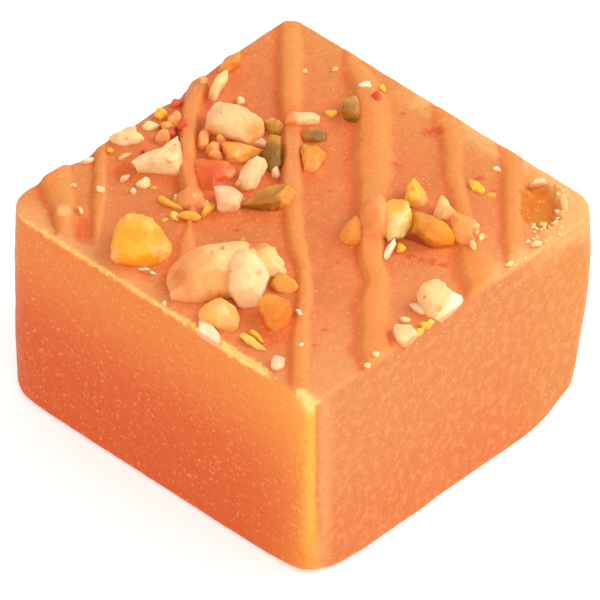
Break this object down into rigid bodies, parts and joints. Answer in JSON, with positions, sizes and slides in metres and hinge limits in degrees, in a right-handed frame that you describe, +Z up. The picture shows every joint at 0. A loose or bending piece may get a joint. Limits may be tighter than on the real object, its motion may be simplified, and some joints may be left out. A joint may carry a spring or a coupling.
{
  "type": "barfi",
  "caption": "Square slab of milk-fudge sweet with thick drizzle along one diagonal and chopped nuts pressed into its top.",
  "frame": {"origin": "middle of the slab's flat underside, on the surface it rests on", "axes": "+Z up, +X and +Y square to the slab's sides; the front corner of the picture is at +X -Y"},
  "size_m": [0.04, 0.0384, 0.0252],
  "materials": {
    "fudge": "satin, grainy, slightly translucent milk fudge",
    "cream_nut": "broken cashew and almond, waxy",
    "yellow_nut": "saffron-yellow nut, waxy",
    "pistachio": "olive to dark brown pistachio, slightly glossy",
    "golden_nut": "orange-gold pistachio, slightly glossy",
    "candied": "moist candied fruit, glossy",
    "coated_nut": "nut under a coat of drizzle, satin"
  },
  "bodies": {
    "root": {"slab": "fudge", "cashew": "cream_nut", "yellow_nut": "yellow_nut", "nut_chunk": "cream_nut", "nut_wedge": "cream_nut", "almond": "cream_nut", "peach_nut": "cream_nut", "coated_lump": "coated_nut", "candied_red": "candied", "candied_orange": "golden_nut", "olive_top": "pistachio", "pistachio_dark": "pistachio", "pistachio_wedge": "pistachio", "cream_nut": "cream_nut", "olive_lens": "pistachio", "pistachio_yellow": "yellow_nut", "pistachio_back": "pistachio", "candied_wedge": "golden_nut", "faceted_nut": "yellow_nut", "white_sliver": "cream_nut", "cream_kernel": "cream_nut", "yellow_kernel": "yellow_nut", "pistachio_orange": "golden_nut", "pistachio_gold": "golden_nut", "cream_blade": "cream_nut", "coated_nut": "coated_nut", "white_nut": "cream_nut", "cream_piece": "cream_nut", "edge_nut": "cream_nut", "edge_blade": "cream_nut", "edge_orange": "golden_nut"}
  },
  "joints": []
}
